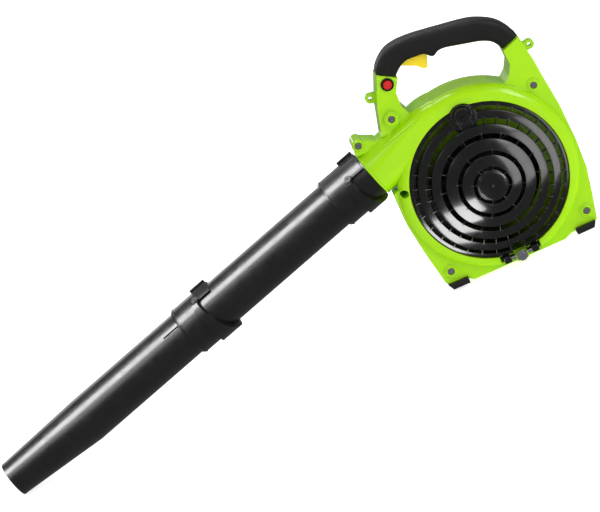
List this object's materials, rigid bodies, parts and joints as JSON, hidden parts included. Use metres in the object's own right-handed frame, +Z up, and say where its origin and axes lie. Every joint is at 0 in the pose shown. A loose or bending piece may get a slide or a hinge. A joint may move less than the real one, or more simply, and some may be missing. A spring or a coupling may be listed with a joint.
{
  "type": "leaf blower",
  "caption": "Hand-held two-stroke petrol leaf blower: round fan case with hinged intake guard, straight two-part blowing tube, top grip with trigger.",
  "frame": {"origin": "middle of the footprint box on the ground, with the blower standing on its rear foot and its nozzle tip", "axes": "+X to the rear along the blowing tube's plan direction, -Y to the air intake guard, +Y to the engine, +Z up"},
  "size_m": [0.9316, 0.2144, 0.36],
  "materials": {
    "green_plastic": "glossy injection-moulded ABS, lime green",
    "black_plastic": "satin black polypropylene",
    "grip_plastic": "fine-textured black nylon",
    "yellow_plastic": "smooth yellow nylon",
    "red_plastic": "glossy red plastic",
    "rubber": "black moulded rubber",
    "zinc_steel": "bright zinc-plated steel",
    "ground_steel": "ground hardened steel",
    "cast_alloy": "as-cast aluminium",
    "fan_nylon": "glass-filled nylon",
    "brass": "turned brass",
    "coil_resin": "potted coil resin and laminations",
    "gasket": "graphite gasket sheet",
    "phenolic": "brown heat-insulating phenolic",
    "primer_rubber": "amber soft rubber",
    "foam": "open-cell oiled foam",
    "muffler_steel": "heat-stained pressed steel",
    "tank_plastic": "translucent white polyethylene",
    "rope": "braided nylon rope"
  },
  "bodies": {
    "machine": {"case_left": "green_plastic", "case_right": "green_plastic", "outlet_spigot": "black_plastic", "stop_bezel": "black_plastic", "starter_housing": "black_plastic", "engine_cover": "black_plastic", "filter_base": "black_plastic", "filter_cover": "black_plastic", "plug_boot": "black_plastic", "grip_left": "grip_plastic", "grip_right": "grip_plastic", "foot_front": "rubber", "foot_rear": "rubber", "shaft_seals": "rubber", "plug_lead": "rubber", "throttle_cable": "rubber", "case_screws": "zinc_steel", "guard_hinge_pin": "zinc_steel", "hinge_screw": "zinc_steel", "crankcase_screws": "zinc_steel", "starter_screws": "zinc_steel", "trigger_pin": "zinc_steel", "trigger_spring": "zinc_steel", "spark_plug": "zinc_steel", "main_bearings": "ground_steel", "piston_pin": "ground_steel", "recoil_spring": "ground_steel", "crankcase_front": "cast_alloy", "crankcase_back": "cast_alloy", "connecting_rod": "cast_alloy", "piston": "cast_alloy", "engine_cylinder": "cast_alloy", "carburettor": "cast_alloy", "latch_insert": "brass", "ignition_coil": "coil_resin", "cylinder_gasket": "gasket", "intake_block": "phenolic", "fuel_line": "primer_rubber", "filter_element": "foam", "muffler": "muffler_steel", "fuel_tank": "tank_plastic"},
    "guard": {"guard": "black_plastic"},
    "latch": {"latch_knob": "black_plastic"},
    "tube": {"upper_tube": "black_plastic", "upper_lock_screw": "zinc_steel"},
    "nozzle": {"nozzle_tube": "black_plastic", "nozzle_lock_screw": "zinc_steel"},
    "crank": {"crankshaft": "ground_steel", "fan_wheel": "fan_nylon", "fan_nut": "zinc_steel", "flywheel": "cast_alloy", "flywheel_nut": "zinc_steel"},
    "starter_pulley": {"starter_pulley": "fan_nylon", "starter_rope": "rope"},
    "starter_handle": {"starter_handle": "black_plastic"},
    "trigger": {"throttle_trigger": "yellow_plastic"},
    "stop_button": {"stop_button": "red_plastic"},
    "fuel_cap": {"fuel_cap": "black_plastic"},
    "choke": {"choke_lever": "red_plastic"},
    "primer": {"primer_bulb": "primer_rubber"},
    "filter_knob": {"filter_knob": "black_plastic"}
  },
  "joints": [
    {"name": "guard_hinge", "type": "hinge", "parent": "machine", "child": "guard", "pos_m": [0.32468, -0.07825, 0.0149], "axis": [0.9995, 0, -0.0313], "range_deg": [0, 70]},
    {"name": "latch_turn", "type": "hinge", "parent": "guard", "child": "latch", "pos_m": [0.33151, -0.07025, 0.2333], "axis": [0, -1, 0], "range_deg": [0, 90]},
    {"name": "tube_twist", "type": "hinge", "parent": "machine", "child": "tube", "pos_m": [0.18451, -0.03525, 0.20345], "axis": [-0.9622, 0, -0.2724], "range_deg": [0, 25]},
    {"name": "nozzle_twist", "type": "hinge", "parent": "tube", "child": "nozzle", "pos_m": [-0.08202, -0.03525, 0.12799], "axis": [-0.9622, 0, -0.2724], "range_deg": [0, 25]},
    {"name": "crank_spin", "type": "hinge", "parent": "machine", "child": "crank", "pos_m": [0.32829, -0.03525, 0.13034], "axis": [0, -1, 0], "continuous": true},
    {"name": "starter_pull", "type": "slide", "parent": "machine", "child": "starter_handle", "axis": [0.0313, 0, 0.9995], "range_m": [0, 0.6], "stiffness_N_per_m": 10, "springref_m": -0.6},
    {"name": "pulley_spin", "type": "hinge", "parent": "machine", "child": "starter_pulley", "pos_m": [0.32829, 0.08085, 0.13034], "axis": [0, 1, 0], "range_deg": [0, 1463.4]},
    {"name": "trigger_pull", "type": "hinge", "parent": "machine", "child": "trigger", "pos_m": [0.29472, -0.03525, 0.33649], "axis": [0, -1, 0], "range_deg": [0, 14], "stiffness_Nm_per_rad": 0.4, "springref_deg": -20.05, "deforming": ["trigger_spring"]},
    {"name": "stop_press", "type": "slide", "parent": "machine", "child": "stop_button", "axis": [0, 1, 0], "range_m": [0, 0.0025], "stiffness_N_per_m": 400, "springref_m": -0.002},
    {"name": "cap_turn", "type": "hinge", "parent": "machine", "child": "fuel_cap", "pos_m": [0.28431, 0.09085, 0.04368], "axis": [0, 1, 0], "range_deg": [0, 270]},
    {"name": "choke_turn", "type": "hinge", "parent": "machine", "child": "choke", "pos_m": [0.25928, 0.04805, 0.19503], "axis": [0, 1, 0], "range_deg": [0, 60]},
    {"name": "primer_press", "type": "slide", "parent": "machine", "child": "primer", "axis": [0, -1, 0], "range_m": [0, 0.004], "stiffness_N_per_m": 500, "springref_m": -0.001},
    {"name": "filter_knob_turn", "type": "hinge", "parent": "machine", "child": "filter_knob", "pos_m": [0.22701, 0.03475, 0.18704], "axis": [-0.9995, 0, 0.0313], "range_deg": [0, 360]}
  ],
  "couplings": [
    {"joint": "pulley_spin", "follows": "starter_pull", "rad_per_m": 42.553}
  ]
}
